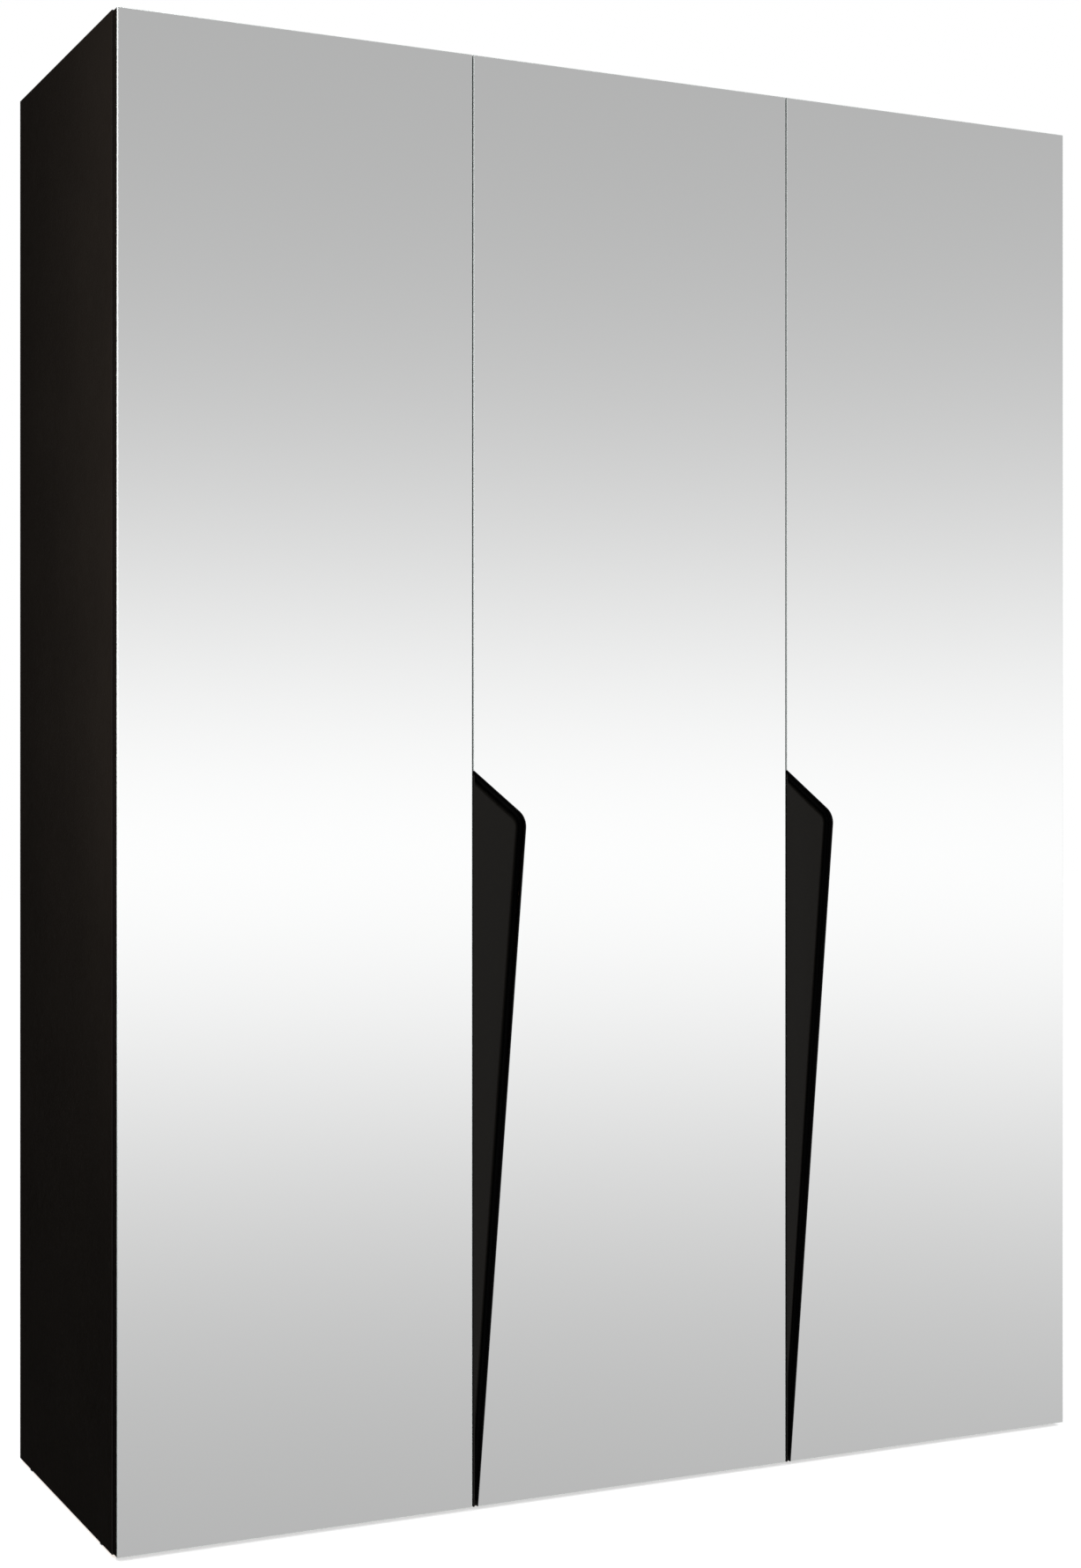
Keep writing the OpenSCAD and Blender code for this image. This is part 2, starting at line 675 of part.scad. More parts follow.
socket_t = 3;
socket_wall = 3;
socket_depth = 14;
rail_screw_l = 12;
rail_screw_z = rail_h / 2 + 9;
z_rail = z_hat - rail_drop;
y_rail = (y_body + y_back_panel) / 2;

module oval(grow) {
    r = rail_w / 2 + grow;
    for (s = [-1, 1]) translate([s * (rail_h - rail_w) / 2, 0]) circle(r = r);
    square([rail_h - rail_w, 2 * r], center = true);
}

// Own X axis runs from a panel's face into the wide compartment
module at_rail_ends() {
    translate([-x_side, y_rail, z_rail]) children();
    translate([x_wide_end, y_rail, z_rail]) mirror([1, 0, 0]) children();
}
module at_rail_screws() at_rail_ends() for (s = [-1, 1]) translate([0, 0, s * rail_screw_z]) children();

module clothes_rail() color(steel) translate([-x_side + socket_t + 0.5, y_rail, z_rail])
    rotate([0, 90, 0]) linear_extrude(x_side + x_wide_end - 2 * socket_t - 1) difference() {
        oval(0);
        oval(-rail_wall);
    }

module rail_sockets() color(steel) at_rail_ends() difference() {
    union() {
        rotate([0, 90, 0]) linear_extrude(socket_depth) oval(socket_wall);
        translate([0, -7, -rail_screw_z]) cube([socket_t, 14, 2 * rail_screw_z]);
        for (s = [-1, 1]) translate([0, 0, s * rail_screw_z]) rod_x(7, 0, socket_t);
    }
    translate([socket_t, 0, 0]) rotate([0, 90, 0]) linear_extrude(socket_depth) oval(0.2);
    for (s = [-1, 1]) translate([0, 0, s * rail_screw_z]) rod_x(screw_r + 0.3, -1, socket_t + 1);
}

module rail_screws() color(steel) at_rail_screws() difference() {
    union() {
        rod_x(screw_r, -rail_screw_l, socket_t + 1);
        rod_x(screw_head_r, socket_t, socket_t + screw_head_t);
    }
    cross_slot(socket_t + screw_head_t);
}

// ---------- Loose shelves ----------

pin_in = 9;
pin_out = 8;
pin_set = 50;
shelf_count = 4;
bay_h = (z_ceiling - z_inside - shelf_count * shelf_t) / (shelf_count + 1);
function shelf_z(k) = z_inside + k * bay_h + (k - 1) * shelf_t;
shelf_y = y_body + shelf_step;
shelf_d = y_back_panel - shelf_y - 1;

// Own X axis runs from the compartment into a panel
module at_shelf_pins() for (k = [1 : shelf_count], y = [shelf_y + pin_set, y_back_panel - pin_set])
    translate([0, y, shelf_z(k) - pin_r]) {
        translate([x_side, 0, 0]) children();
        translate([x_narrow_start, 0, 0]) mirror([1, 0, 0]) children();
    }

module shelf(k) color(black_brown) translate([x_narrow_start + shelf_play, shelf_y, shelf_z(k)])
    cube([x_side - x_narrow_start - 2 * shelf_play, shelf_d, shelf_t]);
module shelf_1() shelf(1);
module shelf_2() shelf(2);
module shelf_3() shelf(3);
module shelf_4() shelf(4);

module shelf_pins() color(steel) at_shelf_pins() rod_x(pin_r, -pin_out, pin_in);

// ---------- Floor glides and bumpers ----------

glide_nail_r = 1.2;
glide_nail_l = 16;
glide_set = 60;
module at_glides() {
    for (s = [-1, 1], y = [y_body + glide_set, y_rear - glide_set])
        translate([s * (body_w - side_t) / 2, y, 0]) children();
    for (x = [x_back_joint, x_partition], y = [y_front_plinth, y_rear_plinth])
        translate([x, y, 0]) children();
}

module floor_glides() color("#3a3a3a") at_glides() {
    rod_z(glide_r - 1, 0, z_foot);
    rod_z(glide_r, 1, z_foot);
    rod_z(glide_nail_r, z_foot, z_foot + glide_nail_l);
}

bumper_r = 2.5;
bumper_t = door_air - 0.4;
bumper_places = concat(
    [for (x = [door_x(1) - door_gap - 12, door_x(1) + 12], z = [z_bottom_mid, z_top_mid]) [x, z]],
    [for (z = [z_top * 0.25, z_top * 0.85]) [x_partition + board_t / 2 - bumper_r - 0.5, z]]);
module door_bumpers() color("#2b2b2b") for (p = bumper_places)
    translate([p[0], 0, p[1]]) rod_y(bumper_r, y_body - bumper_t, y_body);

// ---------- Hinge groups ----------

module hinge_plates() color(steel) {
    at_hinges(0) hinge_plate(side_reach);
    at_hinges(1) hinge_plate(partition_reach);
    at_hinges(2) hinge_plate(side_reach);
}
module plate_screws() color(steel) {
    at_hinges(0) plate_screw(side_reach);
    at_hinges(1) plate_screw(partition_reach);
    at_hinges(2) plate_screw(side_reach);
}
module hinge_arms() color(steel) at_all_hinges() hinge_arm();
module arm_screws() color(steel) at_all_hinges() arm_screw();
module arm_pins() color(steel) at_all_hinges() pins_of_arm();

module left_door_board() door_board(0);
module left_mirror() mirror_plate(0);
module left_mirror_tape() mirror_tape(0);
module left_hinge_cups() color(steel) at_hinges(0) hinge_cup();
module left_cup_screws() color(steel) at_hinges(0) cup_screw();
module left_cup_pins() color(steel) at_hinges(0) pins_of_cup();
module left_hook_links() color(steel) at_hinges(0) hook_link();
module left_inner_links() color(steel) at_hinges(0) inner_link();

module middle_door_board() door_board(1);
module middle_mirror() mirror_plate(1);
module middle_mirror_tape() mirror_tape(1);
module middle_grip_tray() grip_tray(1);
module middle_hinge_cups() color(steel) at_hinges(1) hinge_cup();
module middle_cup_screws() color(steel) at_hinges(1) cup_screw();
module middle_cup_pins() color(steel) at_hinges(1) pins_of_cup();
module middle_hook_links() color(steel) at_hinges(1) hook_link();
module middle_inner_links() color(steel) at_hinges(1) inner_link();

module right_door_board() door_board(2);
module right_mirror() mirror_plate(2);
module right_mirror_tape() mirror_tape(2);
module right_grip_tray() grip_tray(2);
module right_hinge_cups() color(steel) at_hinges(2) hinge_cup();
module right_cup_screws() color(steel) at_hinges(2) cup_screw();
module right_cup_pins() color(steel) at_hinges(2) pins_of_cup();
module right_hook_links() color(steel) at_hinges(2) hook_link();
module right_inner_links() color(steel) at_hinges(2) inner_link();

left_side_panel();
right_side_panel();
top_panel();
bottom_panel();
partition_panel();
front_plinth();
rear_plinth();
left_back_panel();
middle_back_panel();
right_back_panel();
back_joint_strip();
hat_shelf();
clothes_rail();
rail_sockets();
rail_screws();
shelf_1();
shelf_2();
shelf_3();
shelf_4();
shelf_pins();
cam_locks();
cam_bolts();
dowels();
floor_glides();
wall_brackets();
bracket_screws();
door_bumpers();
back_nails();
hinge_plates();
plate_screws();
hinge_arms();
arm_screws();
arm_pins();
left_door_board();
left_mirror();
left_mirror_tape();
left_hinge_cups();
left_cup_screws();
left_cup_pins();
left_hook_links();
left_inner_links();
middle_door_board();
middle_mirror();
middle_mirror_tape();
middle_grip_tray();
middle_hinge_cups();
middle_cup_screws();
middle_cup_pins();
middle_hook_links();
middle_inner_links();
right_door_board();
right_mirror();
right_mirror_tape();
right_grip_tray();
right_hinge_cups();
right_cup_screws();
right_cup_pins();
right_hook_links();
right_inner_links();
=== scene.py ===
"""Looks of a wardrobe with three mirror doors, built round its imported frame.

Lengths are metres. X runs along the width, the doors face -Y and Z is up.
"""
import json
import logging
import math
from dataclasses import dataclass, field
from enum import Enum
from functools import cache
from typing import Any, Iterable, Sequence

import bmesh
import bpy
import numpy as np
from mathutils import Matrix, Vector

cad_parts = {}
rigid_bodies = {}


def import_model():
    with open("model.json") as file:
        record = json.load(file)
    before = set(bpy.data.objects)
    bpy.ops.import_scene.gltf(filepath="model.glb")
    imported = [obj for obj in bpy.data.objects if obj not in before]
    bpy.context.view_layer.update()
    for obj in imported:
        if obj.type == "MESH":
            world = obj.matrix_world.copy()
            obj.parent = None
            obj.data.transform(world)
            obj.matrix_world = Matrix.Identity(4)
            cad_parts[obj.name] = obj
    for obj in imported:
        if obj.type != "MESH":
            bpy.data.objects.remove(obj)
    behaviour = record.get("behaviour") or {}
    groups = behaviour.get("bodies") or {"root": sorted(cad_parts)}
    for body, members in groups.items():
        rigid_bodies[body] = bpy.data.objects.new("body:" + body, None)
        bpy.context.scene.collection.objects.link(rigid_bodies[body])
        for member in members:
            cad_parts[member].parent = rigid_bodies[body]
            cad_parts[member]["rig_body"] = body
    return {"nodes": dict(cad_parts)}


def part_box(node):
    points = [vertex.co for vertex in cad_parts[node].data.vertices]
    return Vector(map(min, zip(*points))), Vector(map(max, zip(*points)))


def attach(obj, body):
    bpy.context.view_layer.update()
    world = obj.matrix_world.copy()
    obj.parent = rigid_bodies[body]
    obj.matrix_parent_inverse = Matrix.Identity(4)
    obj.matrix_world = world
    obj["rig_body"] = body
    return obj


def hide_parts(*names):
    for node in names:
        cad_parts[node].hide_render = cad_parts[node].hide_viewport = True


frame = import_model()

log = logging.getLogger("wardrobe")

Tone = tuple[float, float, float]
Socket = bpy.types.NodeSocket
MM = 0.001


def add_node(tree: bpy.types.NodeTree, kind: str, inputs: dict[str | int, Any],
             **settings: Any) -> bpy.types.Node:
    """Adds a shader node to a tree.

    Args:
        tree: the material's or world's nodes.
        kind: the node's type without "ShaderNode".
        inputs: a socket to link or a value to set, by input name or number.
        settings: the node's own properties.

    Returns:
        The new node.
    """
    made = tree.nodes.new("ShaderNode" + kind)
    for key, value in settings.items():
        setattr(made, key, value)
    for key, value in inputs.items():
        if isinstance(value, Socket):
            tree.links.new(value, made.inputs[key])
        else:
            made.inputs[key].default_value = value
    return made


# ---------- Finishes ----------

class Recipe:
    """One material's nodes, put together with short calls.

    Patterns read Object coordinates, so a scale of 1000 has features about a millimetre wide.
    """

    def __init__(self, name: str, **fixed: Any) -> None:
        """Starts a material.

        Args:
            name: the material's name.
            fixed: values that are the same all over the surface, by shader input with _ for a space.
        """
        self.material = bpy.data.materials.new(name)
        self.material.use_nodes = True
        self.tree = self.material.node_tree
        self.shader = self.tree.nodes["Principled BSDF"]
        for key, value in fixed.items():
            socket = self.shader.inputs[key.replace("_", " ")]
            socket.default_value = (*value, 1.0) if isinstance(value, tuple) else value
        self.spot = self.tree.nodes.new("ShaderNodeTexCoord").outputs["Object"]

    def node(self, kind: str, inputs: dict[str | int, Any], **settings: Any) -> bpy.types.Node:
        """Adds a node to the material, as add_node does."""
        return add_node(self.tree, kind, inputs, **settings)

    def cloud(self, scale: float, detail: float = 2.0, stretch: Tone = (1.0, 1.0, 1.0)) -> Socket:
        """Adds soft noise.

        Args:
            scale: features per metre.
            detail: how many finer layers it has.
            stretch: factor on the scale along each axis.

        Returns:
            The noise, from 0 to 1.
        """
        spot = self.node("Mapping", {"Vector": self.spot, "Scale": stretch}).outputs[0]
        return self.node("TexNoise", {"Vector": spot, "Scale": scale, "Detail": detail}).outputs[0]

    def chips(self, scale: float, stretch: Tone = (1.0, 1.0, 1.0)) -> Socket:
        """Adds flat random patches; scale and stretch are as in cloud. Returns one shade per patch."""
        spot = self.node("Mapping", {"Vector": self.spot, "Scale": stretch}).outputs[0]
        patch = self.node("TexVoronoi", {"Vector": spot, "Scale": scale})
        return self.node("SeparateColor", {0: patch.outputs["Color"]}).outputs[0]

    def along(self, axis: int, low: float, high: float) -> Socket:
        """Returns a value that goes from 0 to 1 between two places on an axis, 0, 1 or 2."""
        place = self.node("SeparateXYZ", {0: self.spot}).outputs[axis]
        return self.spread(place, 0.0, 1.0, low, high)

    def spread(self, value: Socket, low: float, high: float, start: float = 0.3,
               end: float = 0.7) -> Socket:
        """Maps a value from the range start to end onto low to high, held at both ends.

        Args:
            value: what to map.
            low: result at start.
            high: result at end.
            start: input that gives low.
            end: input that gives high.

        Returns:
            The mapped value.
        """
        ranges = {0: value, 1: start, 2: end, 3: low, 4: high}
        return self.node("MapRange", ranges).outputs[0]

    def blend(self, share: Socket, first: Tone | Socket, second: Tone | Socket) -> Socket:
        """Mixes two colours.

        Args:
            share: how much of the second, from 0 to 1.
            first: colour at 0.
            second: colour at 1.

        Returns:
            The mixed colour.
        """
        first, second = ((*c, 1.0) if isinstance(c, tuple) else c for c in (first, second))
        mixed = self.node("Mix", {0: share, 6: first, 7: second}, data_type="RGBA")
        return mixed.outputs[2]

    def colour(self, value: Socket) -> None:
        """Sends a colour to the shader."""
        self.tree.links.new(value, self.shader.inputs["Base Color"])

    def roughness(self, value: Socket) -> None:
        """Sends a roughness to the shader."""
        self.tree.links.new(value, self.shader.inputs["Roughness"])

    def relief(self, *layers: tuple[Socket, float]) -> None:
        """Adds surface relief.

        Args:
            layers: pairs of a height from 0 to 1 and its full depth in metres.
        """
        normal: Socket | None = None
        for height, depth in layers:
            inputs = {"Height": height, "Distance": depth, "Strength": 1.0}
            if normal is not None:
                inputs["Normal"] = normal
            normal = self.node("Bump", inputs).outputs[0]
        self.tree.links.new(normal, self.shader.inputs["Normal"])


def shade(tone: Tone, factor: float) -> Tone:
    """Returns a tone made lighter or darker by a factor."""
    return tuple(channel * factor for channel in tone)


@dataclass(frozen=True)
class Finish:
    """A finish: its name and main tone. Each kind knows how to paint itself."""

    name: str
    tone: Tone

    def paint(self) -> bpy.types.Material:
        """Makes the material."""
        raise NotImplementedError

    @cache
    def material(self) -> bpy.types.Material:
        """Returns the material, made once."""
        return self.paint()


@dataclass(frozen=True)
class Melamine(Finish):
    """Resin-faced board: clouded tone, satin gloss with a fine pebble under it."""

    gloss: float = 0.42
    pebble: float = 0.004 * MM
    streak: float = 1.0

    def paint(self) -> bpy.types.Material:
        """Makes the material; streak below 1 draws the clouding out along the height and depth."""
        r = Recipe(self.name, Base_Color=self.tone, Specular_IOR_Level=0.25)
        drawn = (1.0, self.streak, self.streak)
        clouds = r.spread(r.cloud(7.0, 4.0, drawn), 0.0, 1.0)
        specks = r.spread(r.cloud(900.0, 1.0), 0.0, 1.0, 0.35, 0.65)
        wide = r.blend(clouds, shade(self.tone, 0.88), shade(self.tone, 1.12))
        fine = r.blend(specks, shade(self.tone, 0.85), shade(self.tone, 1.15))
        r.colour(r.node("Mix", {0: 0.3, 6: wide, 7: fine}, data_type="RGBA").outputs[2])
        r.roughness(r.spread(r.cloud(60.0, 3.0), self.gloss - 0.04, self.gloss + 0.05))
        r.relief((r.cloud(1400.0, 1.0), self.pebble), (r.cloud(45.0, 1.0), 2.0 * self.pebble))
        return r.material


@dataclass(frozen=True)
class Chipboard(Finish):
    """Bare particle board, as on edges without a band and inside bores."""

    def paint(self) -> bpy.types.Material:
        """Makes the material from coarse and fine chips with dark gaps between."""
        r = Recipe(self.name, Roughness=0.9, Specular_IOR_Level=0.2)
        coarse = r.blend(r.chips(420.0, (1.0, 1.0, 2.6)), shade(self.tone, 0.62), shade(self.tone, 1.25))
        fine = r.blend(r.chips(1300.0), shade(self.tone, 0.7), shade(self.tone, 1.15))
        chips = r.blend(r.spread(r.cloud(300.0), 0.2, 0.8), coarse, fine)
        pits = r.spread(r.cloud(800.0, 3.0), 0.0, 1.0, 0.62, 0.7)
        r.colour(r.blend(pits, chips, shade(self.tone, 0.18)))
        r.relief((r.chips(420.0, (1.0, 1.0, 2.6)), 0.15 * MM), (r.cloud(900.0, 3.0), 0.2 * MM))
        return r.material


@dataclass(frozen=True)
class Silvering(Finish):
    """The silvered face of a mirror: clean glass with a trace of wiping haze."""

    def paint(self) -> bpy.types.Material:
        """Makes the material."""
        r = Recipe(self.name, Metallic=1.0)
        r.colour(r.blend(r.cloud(3.0, 3.0), shade(self.tone, 0.995), shade(self.tone, 1.005)))
        r.roughness(r.spread(r.cloud(14.0, 4.0, (1.0, 1.0, 0.3)), 0.0, 0.012))
        return r.material


@dataclass(frozen=True)
class GlassEdge(Finish):
    """A polished edge of float glass, green-grey and a little streaky along the edge."""

    def paint(self) -> bpy.types.Material:
        """Makes the material."""
        r = Recipe(self.name, Specular_IOR_Level=0.6, Coat_Weight=0.5, Coat_Roughness=0.06)
        r.colour(r.blend(r.cloud(1500.0, 2.0, (1.0, 1.0, 0.05)), shade(self.tone, 0.85),
                         shade(self.tone, 1.15)))
        r.roughness(r.spread(r.cloud(2500.0, 1.0, (1.0, 1.0, 0.04)), 0.12, 0.24))
        return r.material


@dataclass(frozen=True)
class Paint(Finish):
    """A thin coat of paint with a slight brush or spray texture."""

    gloss: float = 0.5

    def paint(self) -> bpy.types.Material:
        """Makes the material."""
        r = Recipe(self.name, Specular_IOR_Level=0.4)
        r.colour(r.blend(r.cloud(40.0, 4.0), shade(self.tone, 0.93), shade(self.tone, 1.04)))
        r.roughness(r.spread(r.cloud(200.0), self.gloss - 0.05, self.gloss + 0.06))
        r.relief((r.cloud(1100.0, 2.0), 0.02 * MM))
        return r.material


@dataclass(frozen=True)
class Moulding(Finish):
    """Moulded plastic or rubber with an eroded grain; a groove tone, if given, is painted shade that it
    takes towards the bottom of a groove.
    """

    gloss: float = 0.45
    shine: float = 0.3
    grain: float = 0.02 * MM
    painted_groove_shade: Tone | None = None
    groove_shade_from: float = 0.0
    groove_shade_to: float = 0.0

    def paint(self) -> bpy.types.Material:
        """Makes the material; the painted groove shade comes in between two given places on Y."""
        r = Recipe(self.name, Specular_IOR_Level=self.shine)
        colour = r.blend(r.cloud(1200.0, 2.0), shade(self.tone, 0.86), shade(self.tone, 1.14))
        # Painted shade: the colour darkens to the groove tone with depth on Y.
        if self.painted_groove_shade is not None:
            colour = r.blend(r.along(1, self.groove_shade_from, self.groove_shade_to), colour, self.painted_groove_shade)
        r.colour(colour)
        r.roughness(r.spread(r.cloud(500.0, 2.0), self.gloss - 0.05, self.gloss + 0.07))
        r.relief((r.cloud(2200.0, 2.0), self.grain))
        return r.material


@dataclass(frozen=True)
class Metal(Finish):
    """Plated or cast metal; brush stretches its fine lines along one direction."""

    gloss: float = 0.3
    brush: Tone = (1.0, 1.0, 1.0)
    relief_depth: float = 0.006 * MM

    def paint(self) -> bpy.types.Material:
        """Makes the material."""
        r = Recipe(self.name, Metallic=1.0)
        stains = r.spread(r.cloud(60.0, 4.0), 0.0, 1.0)
        r.colour(r.blend(stains, shade(self.tone, 0.84), shade(self.tone, 1.06)))
        lines = r.cloud(1800.0, 2.0, self.brush)
        r.roughness(r.spread(lines, self.gloss - 0.07, self.gloss + 0.1))
        r.relief((lines, self.relief_depth))
        return r.material


@dataclass(frozen=True)
class Fibreboard(Finish):
    """Thin fibreboard, painted on the side at lower Y and brown behind."""

    rear: Tone = (0.2, 0.12, 0.065)
    turn: float = 0.0

    def paint(self) -> bpy.types.Material:
        """Makes the material; the paint ends at the place turn on Y."""
        r = Recipe(self.name, Specular_IOR_Level=0.3)
        fibres = r.cloud(420.0, 4.0, (0.25, 1.0, 1.0))
        brown = r.blend(r.spread(fibres, 0.0, 1.0), shade(self.rear, 0.72), shade(self.rear, 1.2))
        broad = r.spread(r.cloud(4.0, 3.0), 0.0, 1.0)
        patches = r.blend(broad, shade(self.rear, 0.95), shade(self.rear, 1.05))
        behind = r.node("Mix", {0: 0.4, 6: brown, 7: patches}, data_type="RGBA").outputs[2]
        front = r.blend(r.cloud(30.0, 4.0), shade(self.tone, 0.95), shade(self.tone, 1.03))
        side = r.along(1, self.turn - 0.05 * MM, self.turn + 0.05 * MM)
        r.colour(r.blend(side, front, behind))
        r.roughness(r.spread(side, 0.42, 0.72, 0.0, 1.0))
        r.relief((fibres, 0.03 * MM))
        return r.material


@dataclass(frozen=True)
class Wood(Finish):
    """Pale hardwood with short flecks along its grain."""

    def paint(self) -> bpy.types.Material:
        """Makes the material."""
        r = Recipe(self.name, Roughness=0.6)
        flecks = r.spread(r.cloud(900.0, 3.0, (0.12, 1.0, 1.0)), 0.0, 1.0)
        r.colour(r.blend(flecks, shade(self.tone, 0.72), shade(self.tone, 1.12)))
        r.relief((flecks, 0.05 * MM))
        return r.material


BLACK_BROWN: Tone = (0.0051, 0.004, 0.0032)
BOARD = Melamine("melamine_black_brown", BLACK_BROWN)
BAND = Melamine("edge_band_black_brown", shade(BLACK_BROWN, 0.6), gloss=0.34, pebble=0.003 * MM, streak=0.2)
CHIPS = Chipboard("bare_chipboard", (0.33, 0.215, 0.12))
SILVER = Silvering("silvered_glass", (0.72, 0.723, 0.722))
GLASS = GlassEdge("polished_glass_edge", (0.52, 0.55, 0.54))
# Near black for painted shade: on the cut edge round each grip recess and on the tray lip's skirt by the
# door gap.
EDGE_SHADE_BLACK = Paint("painted_shade_edge", (0.002, 0.002, 0.002))
MIRROR_BACK = Paint("mirror_backing_paint", (0.12, 0.125, 0.13))
FOAM = Moulding("foam_tape", (0.012, 0.012, 0.012), gloss=0.85, grain=0.12 * MM)
BUMPER = Moulding("bumper_rubber", (0.03, 0.03, 0.03), gloss=0.5)
NYLON = Moulding("glide_nylon", (0.035, 0.035, 0.036), gloss=0.4)
JOINT_WHITE = Moulding("joint_strip_white", (0.72, 0.71, 0.68), gloss=0.35)
NICKEL = Metal("nickel_plate", (0.66, 0.64, 0.6), gloss=0.27, brush=(1.0, 0.08, 1.0))
ZINC = Metal("zinc_plate", (0.56, 0.58, 0.6), gloss=0.34, brush=(1.0, 1.0, 0.1))
TUBE = Metal("bright_tube", (0.72, 0.73, 0.74), gloss=0.16, brush=(0.02, 1.0, 1.0))
DIE_CAST = Metal("zinc_die_cast", (0.42, 0.42, 0.43), gloss=0.48, relief_depth=0.03 * MM)
BEECH = Wood("fluted_beech", (0.52, 0.35, 0.19))


# ---------- Mesh tools ----------

def new_piece(name: str, points: np.ndarray, faces: Sequence[Sequence[int]],
              finishes: Sequence[Finish], indices: Sequence[int] | None = None) -> bpy.types.Object:
    """Makes a mesh object with its place in its points.

    Args:
        name: the piece's name.
        points: n x 3 array.
        faces: point numbers, counterclockwise from outside.
        finishes: the finishes on it.
        indices: finish number of each face, all 0 if left out.

    Returns:
        The object.
    """
    mesh = bpy.data.meshes.new(name)
    mesh.from_pydata(points.tolist(), [], [list(f) for f in faces])
    for finish in finishes:
        mesh.materials.append(finish.material())
    if indices is not None:
        mesh.polygons.foreach_set("material_index", np.asarray(indices, np.int32))
    mesh.polygons.foreach_set("use_smooth", np.ones(len(mesh.polygons), bool))
    mesh.update()
    piece = bpy.data.objects.new(name, mesh)
    bpy.context.scene.collection.objects.link(piece)
    return piece


def grid_faces(rows: int, columns: int, start: int = 0, closed: bool = False) -> np.ndarray:
    """Lists the quads of a grid whose points are stored row after row.

    Quad (r, c) joins points (r, c), (r, c + 1), (r + 1, c + 1) and (r + 1, c).

    Args:
        rows: rows of points.
        columns: points in a row.
        start: number of the first point.
        closed: joins the last column to the first.

    Returns:
        An m x 4 array of point numbers.
    """
    r, c = np.meshgrid(np.arange(rows - 1), np.arange(columns if closed else columns - 1), indexing="ij")
    after = (c + 1) % columns
    quads = np.stack([r * columns + c, r * columns + after, (r + 1) * columns + after,
                      (r + 1) * columns + c], axis=-1)
    return quads.reshape(-1, 4) + start


def cleaned(mesh: bpy.types.Mesh, gap: float = 0.01 * MM, flat: float | None = None) -> None:
    """Merges doubled points, drops faces without area and, if asked, joins flat neighbours.

    Args:
        mesh: the mesh to clean.
        gap: points closer than this become one.
        flat: angle in degrees below which neighbouring faces are joined.
    """
    work = bmesh.new()
    work.from_mesh(mesh)
    bmesh.ops.remove_doubles(work, verts=work.verts, dist=gap)
    bmesh.ops.dissolve_degenerate(work, edges=work.edges, dist=gap)
    if flat is not None:
        bmesh.ops.dissolve_limit(work, angle_limit=math.radians(flat), verts=work.verts, edges=work.edges)
    work.to_mesh(mesh)
    work.free()


def round_edges(piece: bpy.types.Object, width: float, segments: int = 2, angle: float = 35.0) -> None:
    """Rounds the edges sharper than an angle in degrees, or marks them sharp if the width is 0."""
    if not width:
        piece.data.set_sharp_from_angle(angle=math.radians(angle))
        return
    bevel = piece.modifiers.new("soft_edges", "BEVEL")
    bevel.width, bevel.segments = width, segments
    bevel.limit_method, bevel.angle_limit = "ANGLE", math.radians(angle)
    bevel.use_clamp_overlap = False
    bevel.harden_normals = True


class Side(Enum):
    """The six faces of a board's box, each with its axis and direction."""

    LEFT = (0, -1)
    RIGHT = (0, 1)
    FRONT = (1, -1)
    REAR = (1, 1)
    UNDER = (2, -1)
    UPPER = (2, 1)


def stand_in(name: str, node: str, core: Finish, sides: dict[Side, Finish] | None = None,
             width: float = 0.4 * MM, segments: int = 2, flat: float = 0.5) -> bpy.types.Object:
    """Makes a piece from a CAD node: the same shape with merged points and rounded edges.

    The CAD mesh's stored normals are dropped, as they don't fit the joined faces. A face that
    lies on one side of the node's box takes that side's finish; all others, such as bores and
    rebates, take the core's.

    Args:
        name: the piece's name.
        node: the CAD node it stands for and rides with.
        core: the main finish.
        sides: the finishes of single sides.
        width: width of the rounded edges.
        segments: facets of the rounded edges.
        flat: angle in degrees below which neighbouring faces are joined.

    Returns:
        The piece.
    """
    source = frame["nodes"][node]
    mesh = source.data.copy()
    mesh.materials.clear()
    stored = mesh.attributes.get("custom_normal")
    if stored:
        mesh.attributes.remove(stored)
    cleaned(mesh, flat=flat)
    finishes = [core]
    count = len(mesh.polygons)
    index = np.zeros(count, np.int32)
    if sides:
        low, high = (np.array(corner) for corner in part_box(node))
        centres, normals = np.empty(count * 3), np.empty(count * 3)
        mesh.polygons.foreach_get("center", centres)
        mesh.polygons.foreach_get("normal", normals)
        centres, normals = centres.reshape(-1, 3), normals.reshape(-1, 3)
        for side, finish in sides.items():
            axis, way = side.value
            place = high[axis] if way > 0 else low[axis]
            on_side = (np.abs(centres[:, axis] - place) < 0.05 * MM) & (normals[:, axis] * way > 0.99)
            if finish not in finishes:
                finishes.append(finish)
            index[on_side] = finishes.index(finish)
    for finish in finishes:
        mesh.materials.append(finish.material())
    mesh.polygons.foreach_set("material_index", index)
    mesh.polygons.foreach_set("use_smooth", np.ones(count, bool))
    piece = bpy.data.objects.new(name, mesh)
    bpy.context.scene.collection.objects.link(piece)
    round_edges(piece, width, segments)
    return adopted(piece, source["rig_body"], node)


def adopted(piece: bpy.types.Object, body: str, node: str) -> bpy.types.Object:
    """Makes a finished piece ride on a body and stand for a CAD node, and reports it."""
    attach(piece, body)
    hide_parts(node)
    log.info("%s stands for %s on %s", piece.name, node, body)
    return piece


def dress(node: str, finish: Finish) -> None:
    """Gives a CAD node that stays as it is a finish."""
    materials = frame["nodes"][node].data.materials
    materials.clear()
    materials.append(finish.material())
    log.info("%s keeps its shape in %s", node, finish.name)


# ---------- Carcass ----------

